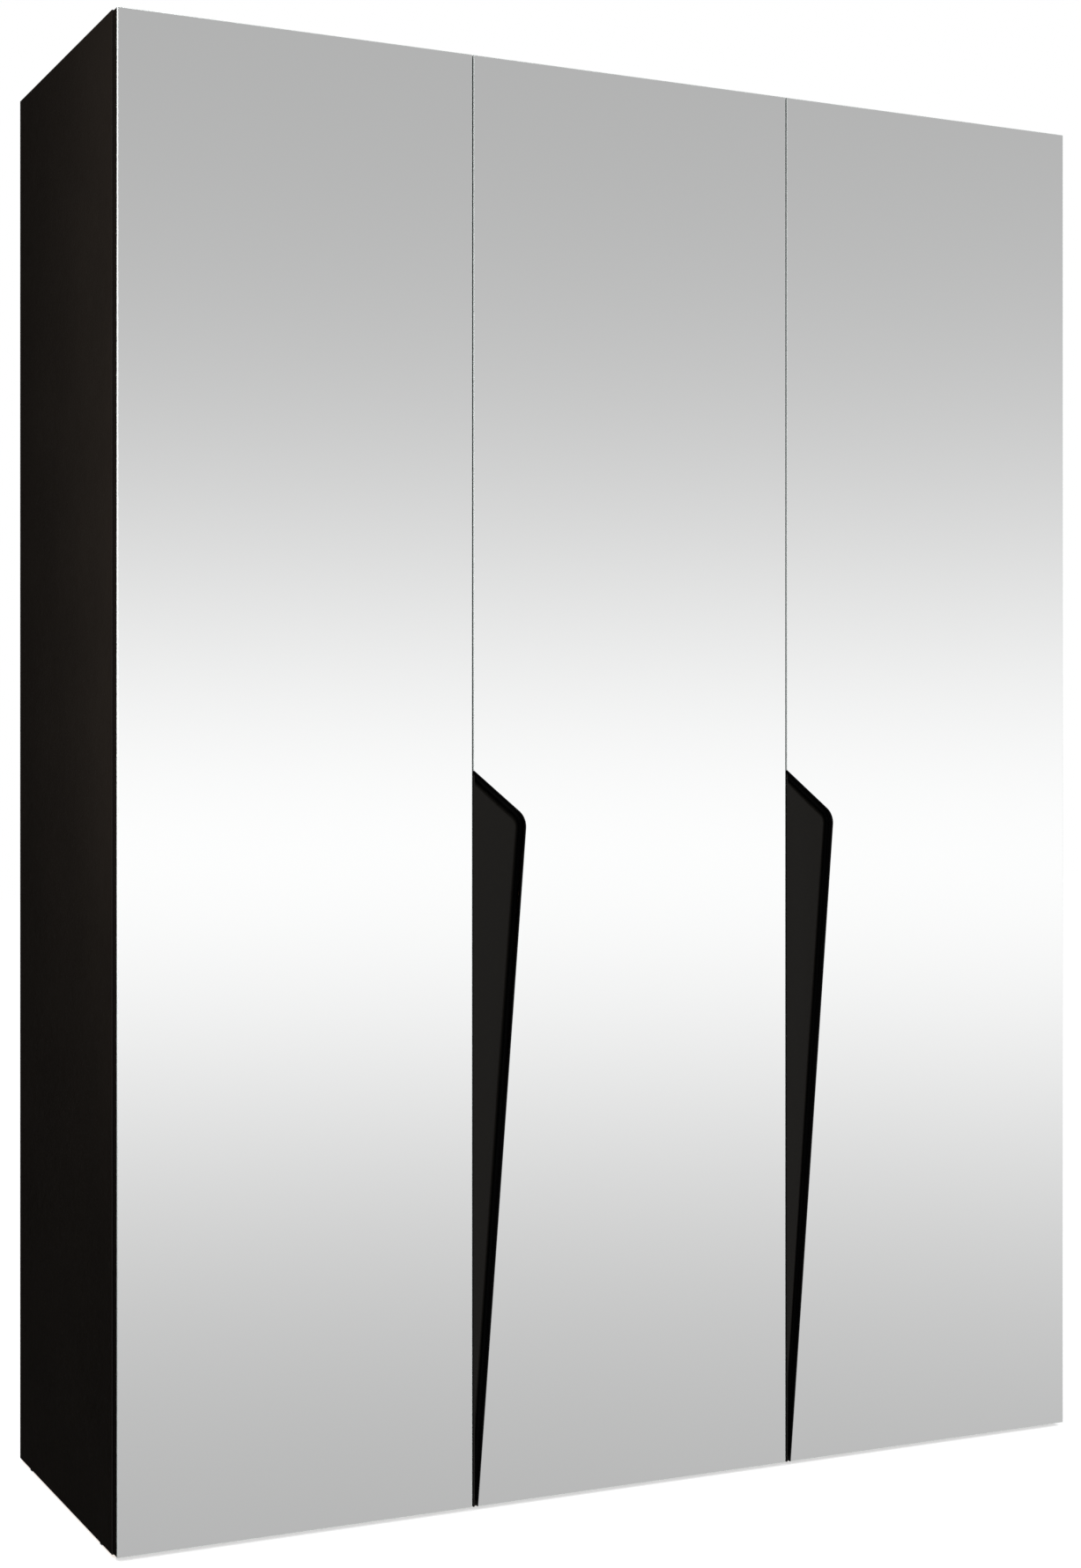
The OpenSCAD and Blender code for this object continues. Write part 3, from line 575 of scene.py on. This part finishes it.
@dataclass
class Carcass:
    """Boards, back, fasteners and feet of the standing body."""

    edge: float = 0.5 * MM
    panels: dict[str, dict[Side, Finish]] = field(default_factory=dict)

    def __post_init__(self) -> None:
        """Says which sides of each board are faced, banded or bare."""
        upright = {Side.LEFT: BOARD, Side.RIGHT: BOARD, Side.FRONT: BAND}
        lying = {Side.UPPER: BOARD, Side.UNDER: BOARD, Side.FRONT: BAND}
        facing = {Side.FRONT: BOARD, Side.REAR: BOARD}
        self.panels = {
            "left_side_panel": upright | {Side.UPPER: BAND},
            "right_side_panel": upright | {Side.UPPER: BAND},
            "partition_panel": upright,
            "top_panel": lying, "bottom_panel": lying, "hat_shelf": lying,
            "shelf_1": lying, "shelf_2": lying, "shelf_3": lying, "shelf_4": lying,
            "front_plinth": facing, "rear_plinth": facing,
        }

    def boards(self) -> None:
        """Builds every board with rounded, banded edges and bare ends."""
        for node, sides in self.panels.items():
            stand_in(node + "_board", node, CHIPS, sides, self.edge)

    def back(self) -> None:
        """Builds the back: fibreboard painted inside, its joint strip and the nails."""
        low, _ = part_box("left_back_panel")
        board = Fibreboard("painted_fibreboard", (0.62, 0.61, 0.58), turn=low.y + 0.3 * MM)
        for node in ("left_back_panel", "middle_back_panel", "right_back_panel"):
            stand_in(node + "_sheet", node, board, width=0.0)
        stand_in("back_joint_profile", "back_joint_strip", JOINT_WHITE, width=0.2 * MM)
        dress("back_nails", ZINC)

    def fittings(self) -> None:
        """Builds the fasteners, brackets, feet and bumpers."""
        stand_in("cam_lock_bodies", "cam_locks", DIE_CAST, width=0.2 * MM)
        stand_in("wall_angle_brackets", "wall_brackets", ZINC, width=0.35 * MM)
        stand_in("wall_bracket_screws", "bracket_screws", ZINC, width=0.3 * MM)
        stand_in("glide_feet", "floor_glides", NYLON, width=0.4 * MM)
        stand_in("bumper_discs", "door_bumpers", BUMPER, width=0.5 * MM)
        stand_in("shelf_pegs", "shelf_pins", ZINC, width=0.3 * MM)
        dress("cam_bolts", ZINC)
        dress("dowels", BEECH)

    def rail(self) -> None:
        """Builds the clothes rail with its sockets and screws."""
        stand_in("clothes_rail_tube", "clothes_rail", TUBE, width=0.2 * MM)
        stand_in("rail_end_sockets", "rail_sockets", DIE_CAST, width=0.5 * MM, segments=3)
        stand_in("rail_socket_screws", "rail_screws", ZINC, width=0.25 * MM)

    def build(self) -> None:
        """Builds the carcass."""
        self.boards()
        self.back()
        self.fittings()
        self.rail()


# ---------- Hinges ----------

@dataclass
class HingeSet:
    """The concealed hinges: the parts on the body and those on one door."""

    edge: float = 0.22 * MM
    fixed: tuple[str, ...] = ("hinge_plates", "hinge_arms")
    moving: tuple[str, ...] = ("hinge_cups", "hook_links", "inner_links")

    def on_body(self) -> None:
        """Builds the plates, arms, screws and pins."""
        for node in self.fixed:
            stand_in(node + "_steel", node, NICKEL, width=self.edge)
        for node in ("plate_screws", "arm_screws"):
            stand_in(node + "_steel", node, ZINC, width=self.edge)
        dress("arm_pins", ZINC)

    def on_door(self, door: str) -> None:
        """Builds the cups, links and screws of a door."""
        for node in self.moving:
            stand_in(f"{door}_{node}_steel", f"{door}_{node}", NICKEL, width=self.edge)
        stand_in(f"{door}_cup_screws_steel", f"{door}_cup_screws", ZINC, width=self.edge)
        dress(f"{door}_cup_pins", ZINC)


# ---------- Doors ----------

@dataclass(frozen=True)
class GripShape:
    """Outline of a door's grip recess, with x from the door's left edge and z up from the floor.

    It runs from the door's edge down a slope, round a corner and down a long side to the foot.
    """

    rise: float = 1018 * MM
    corner: tuple[float, float] = (80 * MM, 952.5 * MM)
    foot: tuple[float, float] = (6 * MM, 6 * MM)
    radius: float = 28 * MM

    def frame_of(self) -> tuple[np.ndarray, ...]:
        """Returns unit vectors along the slope and the side, their inward normals and the arc's centre."""
        corner = np.array(self.corner)
        slope = corner - np.array([0.0, self.rise])
        side = np.array(self.foot) - corner
        slope, side = slope / np.hypot(*slope), side / np.hypot(*side)
        inward = [np.array([v[1], -v[0]]) for v in (slope, side)]
        middle = inward[0] + inward[1]
        centre = corner + middle * self.radius / (middle @ inward[0])
        return slope, side, inward[0], inward[1], centre

    def arc(self, steps: int) -> np.ndarray:
        """Returns steps + 1 unit vectors from the arc's centre, from the slope to the long side."""
        _, _, first, second, _ = self.frame_of()
        start, end = (math.atan2(-n[1], -n[0]) for n in (first, second))
        angles = start + (end - start) * np.linspace(0.0, 1.0, steps + 1)
        return np.stack([np.cos(angles), np.sin(angles)], axis=-1)

    def line(self, steps: int = 24) -> np.ndarray:
        """Returns the outline's points, from the door's edge to the foot."""
        *_, centre = self.frame_of()
        return np.vstack([[0.0, self.rise], centre + self.radius * self.arc(steps), self.foot])

    def carried(self, insets: np.ndarray, rim: float, arc_steps: int, heights: np.ndarray) -> np.ndarray:
        """Carries a profile along the outline.

        At an inset d the slope and the side are moved inwards by d and the arc, with the same
        centre, has a radius smaller by d. Rows start at x = rim on the slope, follow the arc, and
        go down the side through the given heights.

        Args:
            insets: the profile's distances from the outline, inwards positive.
            rim: x of the first row.
            arc_steps: steps round the corner.
            heights: falling heights of the rows on the long side, as shares of its length.

        Returns:
            A rows x insets x 2 array of x and z.
        """
        slope, side, first, second, centre = self.frame_of()
        radius = (self.radius - insets)[None, :, None]
        start = centre - first * radius
        run = (start[..., :1] - rim) / slope[0]
        up = np.linspace(1.0, 0.0, 9)[:-1, None, None]
        on_slope = start - slope * run * up
        on_arc = centre + radius * self.arc(arc_steps)[:, None, :]
        end = centre - second * radius
        drop = (self.foot[1] - end[..., 1:]) / side[1]
        on_side = end + side * drop * heights[:, None, None]
        return np.concatenate([on_slope, on_arc, on_side])


def smooth(value: np.ndarray) -> np.ndarray:
    """Returns 3 v^2 - 2 v^3 of a value held between 0 and 1."""
    held = np.clip(value, 0.0, 1.0)
    return held * held * (3.0 - 2.0 * held)


@dataclass
class GripTray:
    """A moulded tray: a finger groove behind the mirror's edge and a floor that slopes forward to a lip."""

    shape: GripShape
    reach: float = 6 * MM
    undercut: float = 4 * MM
    groove: float = 15 * MM
    depth: float = 8 * MM
    bottom: float = 3 * MM
    wall: float = 0.9 * MM
    foot_flat: float = 7.1 * MM
    foot_run: float = 1.4 * MM
    rim: float = 3.5 * MM
    rim_end: float = 2.1 * MM
    lip: float = 4.4 * MM
    lip_arris: float = 0.4 * MM
    slope: float = 40 * MM
    sheet: float = 0.9 * MM
    tone: Tone = (0.0058, 0.0052, 0.0043)
    # Painted shade: the near-black tone at the bottom of the finger groove.
    painted_groove_shade: Tone = (0.0004, 0.0004, 0.0004)

    def sink(self, inset: np.ndarray) -> np.ndarray:
        """Depth of the profile at an inset: a steep wall, a flat bottom, then a long soft rise."""
        wall = smooth((inset + self.undercut) / self.wall)
        return self.depth * wall * (1.0 - self.floor_share(inset))

    def floor_share(self, inset: np.ndarray) -> np.ndarray:
        """Share of the floor in the profile at an inset: none in the groove, all of it past the rise."""
        return smooth((inset - self.bottom) / (self.groove - self.bottom))

    def raised(self, x: np.ndarray) -> np.ndarray:
        """Height of the floor's slope at x: the lip's at the free edge, falling straight to none."""
        return self.lip * np.clip(1.0 - x / self.slope, 0.0, None)

    def depth_at(self, x: np.ndarray, inset: np.ndarray) -> np.ndarray:
        """Depth of the sheet behind the board's face: the groove's sink less the floor's slope."""
        return self.sink(inset) - self.raised(x) * self.floor_share(inset)

    def build(self, door: str) -> bpy.types.Object:
        """Builds a door's tray as one sheet and gives it thickness.

        Rows cross the profile at places along the outline, run on to x = rim, and then over the
        rim to the lip at the door's edge and down its skirt. The groove fades out at the rim and
        at the foot.

        Args:
            door: the door's name.

        Returns:
            The piece.
        """
        node = f"{door}_grip_tray"
        low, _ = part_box(node)
        left, level, foot = low.x, low.y + self.lip, low.z
        insets = np.concatenate([[-self.reach], np.linspace(-4.4, -2.6, 9) * MM,
                                 np.linspace(-1.5, 2, 4) * MM,
                                 np.linspace(self.bottom, self.groove, 17)])
        heights = np.concatenate([np.linspace(0, 0.96, 33)[1:], np.linspace(0.97, 0.988, 4),
                                  np.linspace(0.9895, 0.9935, 9), [1.0]])
        ground = self.shape.carried(insets, self.rim, 16, heights)
        over = np.clip(self.rim - ground[..., 0], 0.0, None)
        inset = insets[None, :] - over
        ground[..., 0] += over
        shares = np.linspace(0.0, 1.0, 7)[1:]
        edge = ground[:, -1:, :]
        floor_x = edge[..., 0] + (self.rim - edge[..., 0]) * shares
        floor = np.stack([floor_x, np.broadcast_to(edge[..., 1], floor_x.shape)], axis=-1)
        ground = np.concatenate([ground, floor], axis=1)
        inset = np.concatenate([inset, np.repeat(inset[:, -1:], len(shares), axis=1)], axis=1)
        sunk = self.depth_at(ground[..., 0], inset)

        bank = np.concatenate([ground[0], ground[1:, -1]])
        bank_sunk = np.concatenate([sunk[0], sunk[1:, -1]])
        bank_inset = np.concatenate([inset[0], inset[1:, -1]])
        turn = np.linspace(0.0, math.pi / 2, 4)
        plain = np.linspace(self.rim, self.rim_end, 8)
        rounded = self.lip_arris * (1.0 - np.sin(turn))
        across = np.concatenate([plain, rounded, [0.0]])
        fall = self.lip_arris * (1.0 - np.cos(turn))
        ahead = np.concatenate([self.raised(plain), self.raised(rounded) - fall, [0.0]])
        fade = 1.0 - smooth((self.rim - across) / (self.rim - self.rim_end))
        rim_x = np.broadcast_to(across, (len(bank), len(across)))
        rim_z = np.broadcast_to(bank[:, 1:], rim_x.shape)
        open_front = smooth(bank_inset / self.bottom)[:, None]
        rim_sunk = bank_sunk[:, None] * fade - open_front * ahead * (1.0 - fade)

        def points(x: np.ndarray, z: np.ndarray, sink: np.ndarray) -> np.ndarray:
            """Puts places on the sheet into the part's frame, with no groove near the foot."""
            at_foot = smooth((z - foot - self.foot_flat) / self.foot_run)
            depth = np.where(sink > 0.0, sink * at_foot, sink)
            return np.stack([left + x, level + depth, z], axis=-1).reshape(-1, 3)

        main = points(ground[..., 0], ground[..., 1], sunk)
        rim = points(rim_x, rim_z, rim_sunk)
        main_faces = grid_faces(*sunk.shape)
        rim_faces = grid_faces(*rim_x.shape, start=len(main))
        last = len(across) - 1
        # Painted shade: the skirt down the lip at the door's edge is near black, for the dark gap beside
        # it.
        on_skirt = np.arange(len(rim_faces)) % last == last - 1
        index = np.concatenate([np.zeros(len(main_faces), int), on_skirt.astype(int)])
        # The tray darkens towards the bottom of its groove, by depth on Y: painted shade.
        finish = Moulding("tray_plastic", self.tone, gloss=0.5, shine=0.1, grain=0.02 * MM, painted_groove_shade=self.painted_groove_shade,
                          groove_shade_from=level, groove_shade_to=level + 0.85 * self.depth)
        piece = new_piece(f"{door}_grip_tray_moulding", np.concatenate([main, rim]),
                          np.concatenate([main_faces, rim_faces]), [finish, EDGE_SHADE_BLACK], index)
        cleaned(piece.data)
        thick = piece.modifiers.new("sheet", "SOLIDIFY")
        thick.thickness, thick.offset = self.sheet, -1.0
        return adopted(piece, f"{door}_door", node)


@dataclass
class MirrorPlate:
    """A mirror plate: a silvered face, a polished edge, painted shade in near black on the edge of its
    recess cut, and a painted back.
    """

    arris: float = 0.8 * MM
    back_arris: float = 0.3 * MM
    steps: int = 4

    def build(self, door: str, grip: GripShape | None) -> bpy.types.Object:
        """Builds a door's mirror by carrying the edge's section round its outline.

        The section is a quarter round of the arris at the face, a straight edge, and a flat arris
        at the back. A point at inset d is the outline's point moved by d along both edge normals.

        Args:
            door: the door's name.
            grip: the recess cut into the plate, if it has one.

        Returns:
            The piece.
        """
        node = f"{door}_mirror"
        low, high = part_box(node)
        corners = [[high.x, low.z], [high.x, high.z], [low.x, high.z]]
        foot = [[low.x, low.z]] if grip is None else grip.line() + [low.x, 0.0]
        outline = np.concatenate([corners, foot])
        after = np.roll(outline, -1, axis=0) - outline
        after /= np.linalg.norm(after, axis=1, keepdims=True)
        inward = np.stack([-after[:, 1], after[:, 0]], axis=-1)
        before = np.roll(inward, 1, axis=0)
        mitre = (inward + before) / (1.0 + np.sum(inward * before, axis=1, keepdims=True))
        angle = np.linspace(0.0, math.pi / 2, self.steps + 1)
        insets = np.append(self.arris * (1.0 - np.sin(angle)), [0.0, self.back_arris])
        depths = np.append(low.y + self.arris * (1.0 - np.cos(angle)), [high.y - self.back_arris, high.y])
        rings = outline[None] + mitre[None] * insets[:, None, None]
        points = np.stack([rings[..., 0], np.broadcast_to(depths[:, None], rings.shape[:2]),
                           rings[..., 1]], axis=-1)
        rows, columns = rings.shape[:2]
        quads = grid_faces(rows, columns, closed=True)[:, ::-1]
        face = list(range(columns))
        back = [(rows - 1) * columns + k for k in reversed(range(columns))]
        faces = [*quads.tolist(), face, back]
        column = np.arange(len(quads)) % columns
        # Painted shade: the faces round the recess cut are near black.
        cut = (column >= 3) & (column < columns - 1) & (grip is not None)
        index = np.where(cut, 3, 1).tolist() + [0, 2]
        piece = new_piece(f"{door}_mirror_plate", points.reshape(-1, 3), faces,
                          [SILVER, GLASS, MIRROR_BACK, EDGE_SHADE_BLACK], index)
        curved = np.ones(len(faces), bool)
        curved[-2:] = False
        piece.data.polygons.foreach_set("use_smooth", curved)
        return adopted(piece, f"{door}_door", node)


@dataclass
class Door:
    """One mirror door: board, tape, mirror and, on two of them, a grip tray."""

    name: str
    grip: GripShape | None = None
    edge: float = 0.5 * MM

    def build(self) -> None:
        """Builds the door."""
        banded = {side: BAND for side in (Side.LEFT, Side.RIGHT, Side.UNDER, Side.UPPER)}
        faced = {Side.FRONT: BOARD, Side.REAR: BOARD}
        stand_in(f"{self.name}_door_panel", f"{self.name}_door_board", CHIPS, banded | faced, self.edge)
        dress(f"{self.name}_mirror_tape", FOAM)
        MirrorPlate().build(self.name, self.grip)
        if self.grip is not None:
            GripTray(self.grip).build(self.name)
        HingeSet().on_door(self.name)


# ---------- Studio ----------

@dataclass
class Studio:
    """A pale floor, soft light from the front and the camera."""

    eye: Tone = (-1.6226, -3.3772, 1.0314)
    heading: float = -26.005
    lens: float = 56.866
    shift: tuple[float, float] = (-0.01872, -0.01462)
    floor_size: float = 30.0
    peak: float = 0.98
    ends: float = 0.43
    peak_height: float = -2.1
    falloff: float = 8.85
    falloff_power: float = 1.78
    soft: float = 0.5
    behind: float = 0.004
    floor_glow: float = 0.62

    def camera(self) -> None:
        """Sets the camera level, at standing height, left of the middle."""
        data = bpy.data.cameras.new("camera")
        data.lens, data.sensor_width = self.lens, 36.0
        data.shift_x, data.shift_y = self.shift
        camera = bpy.data.objects.new("camera", data)
        camera.location = self.eye
        camera.rotation_euler = (math.pi / 2, 0.0, math.radians(self.heading))
        bpy.context.scene.collection.objects.link(camera)
        bpy.context.scene.camera = camera

    def floor(self) -> None:
        """Lays the floor."""
        h = self.floor_size / 2
        points = np.array([[-h, -h, 0], [h, -h, 0], [h, h, 0], [-h, h, 0]])
        mesh = bpy.data.meshes.new("floor")
        mesh.from_pydata(points.tolist(), [], [[0, 1, 2, 3]])
        r = Recipe("floor_pale", Roughness=0.9, Specular_IOR_Level=0.1,
                   Emission_Color=(1.0, 1.0, 1.0), Emission_Strength=self.floor_glow)
        r.colour(r.blend(r.cloud(2.0), (0.86, 0.86, 0.86), (0.88, 0.88, 0.88)))
        mesh.materials.append(r.material)
        floor = bpy.data.objects.new("floor", mesh)
        floor.visible_glossy = False
        bpy.context.scene.collection.objects.link(floor)

    def sky(self) -> None:
        """Lights the scene evenly, with a band of light at eye height for the mirrors.

        The band's strength falls from its peak with the height angle as exp(-(angle / falloff)^p).
        """
        world = bpy.data.worlds.new("studio")
        world.use_nodes = True
        bpy.context.scene.world = world
        tree = world.node_tree
        tree.nodes.clear()

        def node(kind: str, inputs: dict[int, Any], **settings: Any) -> Socket:
            """Adds a node as add_node does and returns its first output."""
            return add_node(tree, kind, inputs, **settings).outputs[0]

        way = tree.nodes.new("ShaderNodeTexCoord").outputs["Generated"]
        parts = tree.nodes.new("ShaderNodeSeparateXYZ")
        tree.links.new(way, parts.inputs[0])
        height = node("Math", {0: parts.outputs["Z"]}, operation="ARCSINE")
        offset = node("Math", {0: height, 1: math.radians(self.peak_height)}, operation="SUBTRACT")
        share = node("Math", {0: node("Math", {0: offset}, operation="ABSOLUTE"),
                              1: math.radians(self.falloff)}, operation="DIVIDE")
        power = node("Math", {0: share, 1: self.falloff_power}, operation="POWER")
        drop = node("Math", {0: node("Math", {0: power, 1: -1.0}, operation="MULTIPLY")},
                    operation="EXPONENT")
        band = node("MapRange", {0: drop, 1: 0.0, 2: 1.0, 3: self.ends / SILVER.tone[0],
                                 4: self.peak / SILVER.tone[0]})
        behind = node("MapRange", {0: parts.outputs["Y"], 1: 0.0, 2: 0.25, 3: 0.0, 4: 1.0})
        seen = node("Mix", {0: behind, 2: band, 3: self.behind})
        path = tree.nodes.new("ShaderNodeLightPath").outputs
        soft = node("Mix", {0: path["Is Glossy Ray"], 2: self.soft, 3: seen})
        strength = node("Mix", {0: path["Is Camera Ray"], 2: soft, 3: 1.0})
        background = node("Background", {0: (1.0, 1.0, 1.0, 1.0), 1: strength})
        out = tree.nodes.new("ShaderNodeOutputWorld")
        tree.links.new(background, out.inputs[0])

    def lamp(self, name: str, place: Tone, aim: Tone, size: tuple[float, float], power: float) -> None:
        """Adds a soft light that mirrors don't show.

        Args:
            name: the light's name.
            place: where it is.
            aim: the point it faces.
            size: its width and height.
            power: watts.
        """
        data = bpy.data.lights.new(name, "AREA")
        data.shape, data.energy = "RECTANGLE", power
        data.size, data.size_y = size
        light = bpy.data.objects.new(name, data)
        light.location = place
        light.rotation_euler = (Vector(aim) - Vector(place)).to_track_quat("-Z", "Y").to_euler()
        light.visible_glossy = light.visible_camera = False
        bpy.context.scene.collection.objects.link(light)

    def build(self) -> None:
        """Builds the studio."""
        self.camera()
        self.floor()
        self.sky()
        self.lamp("side_strip", (-1.15, -0.42, 1.6), (-0.75, -0.12, 1.6), (0.2, 1.7), 16.0)
        self.lamp("front_panel", (1.2, -3.4, 2.6), (0.1, 0.0, 0.9), (2.4, 1.6), 55.0)
        bpy.context.scene.view_settings.view_transform = "Standard"
        log.info("studio is ready")


def main() -> None:
    """Builds the studio, carcass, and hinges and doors."""
    logging.basicConfig(level=logging.INFO, format="%(message)s")
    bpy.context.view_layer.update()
    Studio().build()
    Carcass().build()
    HingeSet().on_body()
    grip = GripShape()
    for door in (Door("left"), Door("middle", grip), Door("right", grip)):
        door.build()
        log.info("%s door is ready", door.name)
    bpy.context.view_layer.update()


if __name__ == "__main__":
    main()
